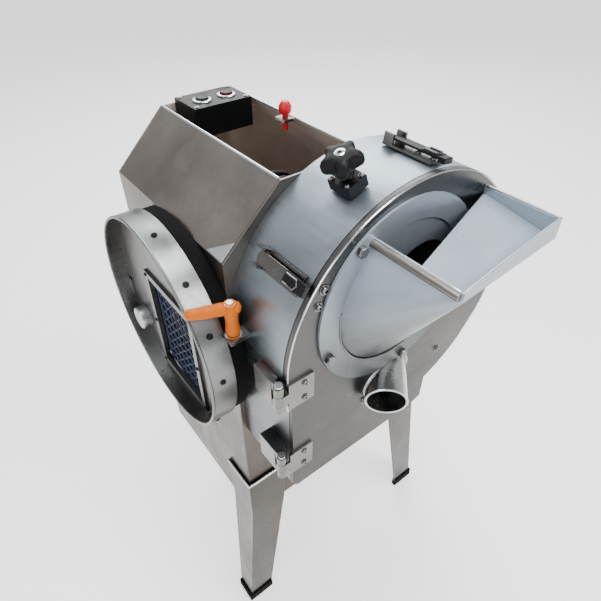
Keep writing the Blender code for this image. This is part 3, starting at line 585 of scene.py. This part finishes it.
# Cover: a bright domed boss cap, screws through the rim, a rolled lip round its front edge.
cap = [(16.9, 0.4), (17.5, 1.4), (17.5, 13.8), (17.1, 15.1), (15.8, 16.1), (12.5, 16.8), (7.0, 17.1), (2.0, 17.2)]
piece("cover_boss_cap", *spun(cap, W(-212.3, 308, 666), (-1, 0, 0), 64), BOSS, "cover", "bright_stainless", angle=60)
lip_path = [W(-232.8, 212 + 146.6 * math.cos(math.radians(q)), 728 + 146.6 * math.sin(math.radians(q))) for q in range(0, 360, 3)]
piece("cover_rolled_lip", *tube(lip_path, 0.0019, 10, closed=True), PAN, "cover", "bright_stainless")
rim_bits = []
for q in (128, 152, 100, 176, 40, 220, 260, 320):
    a1 = math.radians(q)
    outwards = Vector((0, math.cos(a1), math.sin(a1)))
    rim_bits.append(screw_head(W(-218, 212 + 147.9 * math.cos(a1), 728 + 147.9 * math.sin(a1)), outwards, 2.6, 1.6))
frame_path = [W(-216.4, 141, 610), W(-216.4, 261, 610), W(-216.4, 261, 775), W(-216.4, 141, 775)]
for y in (141, 261):
    for z in (612, 692, 773):
        rim_bits.append(screw_head(W(-215.9, y, z), (-1, 0, 0), 2.0, 1.1))
piece("cover_screws", *merge(*rim_bits), BLACKENED, "cover", "dark_steel", angle=40)

# Star knob: five soft lobes over a hub, a steel cap screw in its middle.
KNOB_A = math.radians(111.0)
knob_out = Vector((math.cos(KNOB_A), 0, math.sin(KNOB_A)))
knob_foot = W(0, 40, 775)


def lobes(a, k):
    amount = (0.0, 0.0, 0.10, 0.20, 0.235, 0.235, 0.20, 0.10, 0.0, 0.0)[k]
    return 1.0 + amount * math.cos(5 * a)


knob_profile = [(9.4, 200.5), (9.8, 206.0), (15.0, 208.3), (17.2, 210.2), (17.8, 213.0), (17.8, 218.5), (17.0, 221.3), (14.6, 223.2), (9.0, 224.2), (6.0, 224.0)]
piece("knob_star_body", *spun(knob_profile, knob_foot, knob_out, 80, lobes), BLACK, "knob", "black_plastic", ("star_knob",), angle=50)
piece(
    "knob_star_spindle",
    *merge(
        spun([(4.6, 162), (4.6, 201.5), (3.0, 202)], knob_foot, knob_out, 24),
        spun([(8.2, 196.6), (9.4, 197.2), (9.4, 200.4), (8.2, 201.0)], knob_foot, knob_out, 6),
    ),
    FITTING, "knob", "bright_stainless",
)
piece("knob_star_cap", *spun([(5.6, 223.4), (5.6, 224.3), (4.4, 224.9), (2.6, 224.9), (2.2, 223.9)], knob_foot, knob_out, 24), POLISH, "knob", "bright_stainless")

# Clamp lever: a stout handle that passes over its hub, with a nut on top.
HUB = W(-194, 72, 0)
arm_dir = Vector((-0.911, 0.412, 0.0)).normalized()
hub_parts = spun([(6.0, 796.7), (7.6, 797.4), (8.3, 803), (7.3, 809), (7.0, 818), (8.2, 825), (8.2, 836), (6.4, 839.6), (4.6, 839.9)], HUB, (0, 0, 1), 36)
arm_root = W(-194, 72, 832.0)
arm_points = [arm_root + arm_dir * (-0.0116 + 0.0601 * i / 48) + Vector((0, 0, 0.0007 * math.sin(math.pi * i / 24))) for i in range(49)]


def arm_radius(length):
    s = min(1.0, length / 0.0601)
    base = 6.6 + 1.0 * math.sin(math.pi * min(1.0, s * 1.1)) + 0.25 * math.sin(s * 22)
    start = math.sqrt(max(0.03, 1.0 - max(0.0, (0.08 - s) / 0.08) ** 2.2))
    end = math.sqrt(max(0.03, 1.0 - max(0.0, (s - 0.86) / 0.14) ** 2.2))
    return base * start * end * 0.001


piece("clamp_handle", *merge(hub_parts, tube(arm_points, arm_radius, 24, flat=0.90)), ORANGE, "clamp", "orange_plastic", ("clamp_lever",), angle=48)
piece("clamp_handle_nut", *merge(
    hex_head(W(-194, 72, 838.6), (0, 0, 1), 4.4, 2.4), spun([(7.9, 794.4), (9.8, 794.6), (9.8, 796.0), (7.9, 796.3)], HUB, (0, 0, 1), 36),
), POLISH, "clamp", "bright_stainless")

# Latches: a grey lever plate with a rounded tail, and a black hook over the door's edge.
for label, angle in (("left", 145.0), ("top", 82.0)):
    a0 = math.radians(angle)
    out = Vector((math.cos(a0), 0, math.sin(a0)))
    tan = Vector((-math.sin(a0), 0, math.cos(a0)))

    def L(r, s, y, out=out, tan=tan):
        return W(*(Vector((0, 0, 775)) + out * r + tan * s + Vector((0, y, 0))))

    shape = [(-7.4, 26), (7.4, 26)] + [(7.4 * math.cos(math.radians(q)), 65.0 + 7.4 * math.sin(math.radians(q))) for q in range(0, 181, 15)]
    plate = slab([L(188.2, s, y) for s, y in shape], out, 2.6)
    piece(f"latch_{label}_plate", *plate, FITTING if label == "left" else BLACKENED, f"latch_{label}", "dark_steel", bevel=0.7)
    body = slab([L(187.6, s, y) for s, y in ((-7.2, 4), (7.2, 4), (7.2, 27), (-7.2, 27))], out, 4.2)
    claw = slab([L(185.0, s, y) for s, y in ((-6.6, -4.7), (6.6, -4.7), (6.6, 4.5), (-6.6, 4.5))], out, 6.4)
    wire = tube([L(192.4, s, y) for s, y in ((-5, 24), (-5, 8), (0, 5.4), (5, 8), (5, 24))], 0.0011, 10)
    piece(f"latch_{label}_hook", *merge(body, claw), BLACKENED, f"latch_{label}", "dark_steel", (f"latch_lever_{label}",), bevel=0.9)
    piece(f"latch_{label}_spring_wire", *wire, FITTING, f"latch_{label}", "bright_stainless")
    bolt = merge(spun([(2.2, -10.6), (2.9, -10.4), (2.9, -8.9), (1.6, -8.8)], L(190.0, 0, 69), tan, 20), spun([(1.6, 8.8), (2.9, 8.9), (2.9, 10.4), (2.2, 10.6)], L(190.0, 0, 69), tan, 20))
    piece(f"latch_{label}_rivet", *bolt, POLISH, "frame", "bright_stainless")

# Weld beads and rolled hems on the door and hopper.
SEAT = -6.6
ring = [W(-20 + 92.3 * math.cos(math.radians(a)), SEAT - 3.2, 820 + 92.3 * math.sin(math.radians(a))) for a in range(170, 385, 3)]
piece("hopper_weld", *tube(finer(ring), ripple(0.0010), 8, up=Vector((0, -1, 0))), FITTING, "door", "bright_stainless")
rim = [W(-73.0, SEAT - 1.0, 911.6), W(-73.0, -113.9, 911.6), W(102.8, -97.2, 911.6), W(102.8, SEAT - 1.0, 911.6)]
piece("hopper_rolled_rim", *tube(finer(rim, 0.01), 0.0017, 12), POLISH, "door", "bright_stainless")
fold = [W(-75.4, SEAT - 1.2, 908.8), W(-75.4, -60, 908.8), W(-75.4, -113.6, 908.8)]
piece("hopper_left_fold", *tube(finer(fold, 0.01), 0.0054, 20, flat=0.80, up=Vector((0, 0, 1))), FOLD, "door", "bright_stainless")
crease = [W(x, -8.0 - (102 - x) * 0.3333, 912.8 - 0.0843 * x + 0.157 * (-8.0 - (102 - x) * 0.3333) - 1.3) for x in (98, 60, 20, -20, -50, -68)]
piece("tray_edge_roll", *tube(finer(crease, 0.008), 0.0016, 10), HORN, "door", "bright_stainless")
# A back sheet in the hopper's light-painted steel, from its round end to the feed hole, laid over the door plate as
# painted light.
rings = []
for cx, cz, r, y in ((-20, 820, 89.6, -7.7), (6, 824, 50.7, -7.3), (6, 824, 50.7, -6.6), (-20, 820, 89.6, -6.9)):
    rings.append([W(cx + r * math.cos(2 * math.pi * i / 96), y, cz + r * math.sin(2 * math.pi * i / 96)) for i in range(96)])
liner_faces = [(k * 96 + i, k * 96 + (i + 1) % 96, ((k + 1) % 4) * 96 + (i + 1) % 96, ((k + 1) % 4) * 96 + i) for k in range(4) for i in range(96)]
piece("hopper_back_sheet", [v for one in rings for v in one], liner_faces, HORN, "door", "bright_stainless", angle=40)
edge = [W(x, -5.6, z) for x, z in outline(-1.6)]
edge_l = [W(-178.4, -5.6, 775 - 6 * i) for i in range(1, 9)]
piece("door_bright_edge", *tube(edge + edge_l, 0.0017, 10, flat=0.7), POLISH, "door", "bright_stainless")

# Drain pipe: bead at the door and a rolled lip at the mouth.
pipe_dir = Vector((-0.68, -0.72, -0.12)).normalized()
u, v, _ = frame_of(pipe_dir)
mouth = Vector((-48.0, -36.0, 672.0))
bead = []
for i in range(72):
    a = 2 * math.pi * i / 72
    p = mouth + (u * math.cos(a) + v * math.sin(a)) * 27.6
    p = p - pipe_dir * ((p.y - (SEAT - 0.5)) / pipe_dir.y)
    bead.append(W(*p))
piece("drain_weld", *tube(finer(bead, closed=True), ripple(0.0016), 8, closed=True), WELD, "door", "bright_stainless")
lip = []
for i in range(64):
    a = 2 * math.pi * i / 64
    lip.append(W(*(mouth - pipe_dir * 1.0 + (u * math.cos(a) + v * math.sin(a)) * 26.4)))
piece("drain_lip", *tube(lip, 0.0015, 10, closed=True), POLISH, "door", "bright_stainless")

# Small fasteners on the door, the hinges, the latches and the knob's block.
front = []
for x, z, r in ((-133, 877, 4.2), (-140, 859, 3.6), (85, 661, 3.6), (-56, 652, 3.8)):
    front.append(screw_head(W(x, -6.3, z), (0, -1, 0), r, 3.0))
for z in (752.0, 623.0):
    for dz_ in (-12, 12):
        front.append(screw_head(W(-158, SEAT - 3.0, z + dz_), (0, -1, 0), 2.9, 1.8))
piece("door_screws", *merge(*front), FITTING, "door", "bright_stainless", angle=40)
side = []
for angle in (145.0, 82.0):
    a = math.radians(angle)
    out = Vector((math.cos(a), 0, math.sin(a)))
    for y in (14.0, 34.0):
        side.append(screw_head(W(184.0 * math.cos(a), y, 775 + 184.0 * math.sin(a)), out, 2.4, 0.9))
for sx, sy in ((-9.5, -11), (9.5, -11), (-9.5, 11), (9.5, 11)):
    tangent = Vector((-math.sin(KNOB_A), 0, math.cos(KNOB_A)))
    spot = W(0, 40 + sy, 775) + knob_out * 0.194 + tangent * (sx * 0.001)
    side.append(screw_head(spot, knob_out, 2.1, 1.6))
piece("housing_screws", *merge(*side), FITTING, "frame", "bright_stainless", angle=40)

# Cabinet: hems along the open top, a bright gusset at the front left fold.
# The right hem stops either side of the red knob, which dips beside it when pressed.
knob_low, knob_high = (Vector(c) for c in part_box("emergency_button"))
before, after = knob_low.y - 0.005, knob_high.y + 0.005
near, far, low_z = W(15.2, 107.5, 937.6), W(15.2, 378.5, 937.6), 0.9376
hems = [tube(finer([W(-102.0, 107.5, 937.6), W(-102.0, 378.5, 937.6)], 0.02), 0.0016, 10)]
if before > near.y:
    hems.append(tube(finer([near, Vector((near.x, before, low_z))], 0.02), 0.0016, 10))
if after < far.y:
    hems.append(tube(finer([Vector((near.x, after, low_z)), far], 0.02), 0.0016, 10))
piece("cabinet_top_hems", *merge(*hems), POLISH, "frame", "stainless")
slope = (Vector((-103, 0, 938)) - Vector((-181, 0, 864))).normalized()
normal = Vector((-slope.z, 0, slope.x))
base = Vector((-181, 0, 864))
tri = [base + slope * 1 + Vector((0, 106, 0)), base + slope * 27 + Vector((0, 106, 0)), base + slope * 1 + Vector((0, 138, 0))]
piece("front_fold_gusset", *slab([W(*(p + normal * 0.25)) for p in tri], normal, 0.9), POLISH, "frame", "stainless", bevel=0.3)

# Rubber boots over the feet, and a polished bead along the top edge of each front leg, a painted highlight on that
# edge.
for label, sx, sy in (("front_left", -1, -1), ("front_right", 1, -1), ("rear_left", -1, 1), ("rear_right", 1, 1)):
    low, high = (Vector(c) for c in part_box(f"foot_pad_{label}"))
    cx = (low.x if sx < 0 else high.x) - sx * 0.0002
    cy = (low.y if sy < 0 else high.y) - sy * 0.0002
    boot = [(0, 0), (54.4, 0), (54.4, 10.6), (10.6, 10.6), (10.6, 44.4), (0, 44.4)]
    rubber = slab([Vector((cx - sx * a / 1000, cy - sy * b / 1000, 0.0006)) for a, b in boot], (0, 0, 1), 22.0)
    piece(f"foot_boot_{label}", *rubber, RUBBER, "frame", "black_rubber", bevel=0.8)
for label, sx, x in (("left", -1, -184.3), ("right", 1, 218.3)):
    bead_path = [W(x - sx * 71, 99.2, 423.0), W(x + sx * 0.5, 99.2, 423.0), W(x + sx * 0.5, 163.5, 423.0)]
    piece(f"leg_top_highlight_bead_{label}", *tube(finer(bead_path, 0.01), 0.0024, 12), POLISH, "frame", "bright_stainless")

# Control box: bezels round the buttons, corner screws.
box_bits = []
for x in (-58.0, -20.0):
    box_bits.append(spun([(10.2, 0), (13.0, 0), (13.4, 1.0), (12.6, 2.2), (10.8, 2.4), (10.2, 1.4)], W(x, 346, 945.0), (0, 0, 1), 40))
for x in (-77, -1):
    for y in (326, 374):
        box_bits.append(screw_head(W(x, y, 945.0), (0, 0, 1), 2.0, 1.1))
piece("control_bezels", *merge(*box_bits), POLISH, "frame", "bright_stainless", angle=40)

# ---------------------------------------------------------------- floor

floor_mesh = bpy.data.meshes.new("floor")
floor_mesh.from_pydata([(-14, -14, 0), (14, -14, 0), (14, 14, 0), (-14, 14, 0)], [], [(0, 1, 2, 3)])
floor = bpy.data.objects.new("floor", floor_mesh)
scene.collection.objects.link(floor)
g = Graph("pale_floor")
g.shader.inputs["Base Color"].default_value = (0.93, 0.93, 0.93, 1)
g.shader.inputs["Roughness"].default_value = 0.9
g.shader.inputs["Emission Color"].default_value = (1, 1, 1, 1)
g.shader.inputs["Emission Strength"].default_value = 0.9
floor_mesh.materials.append(g.material)
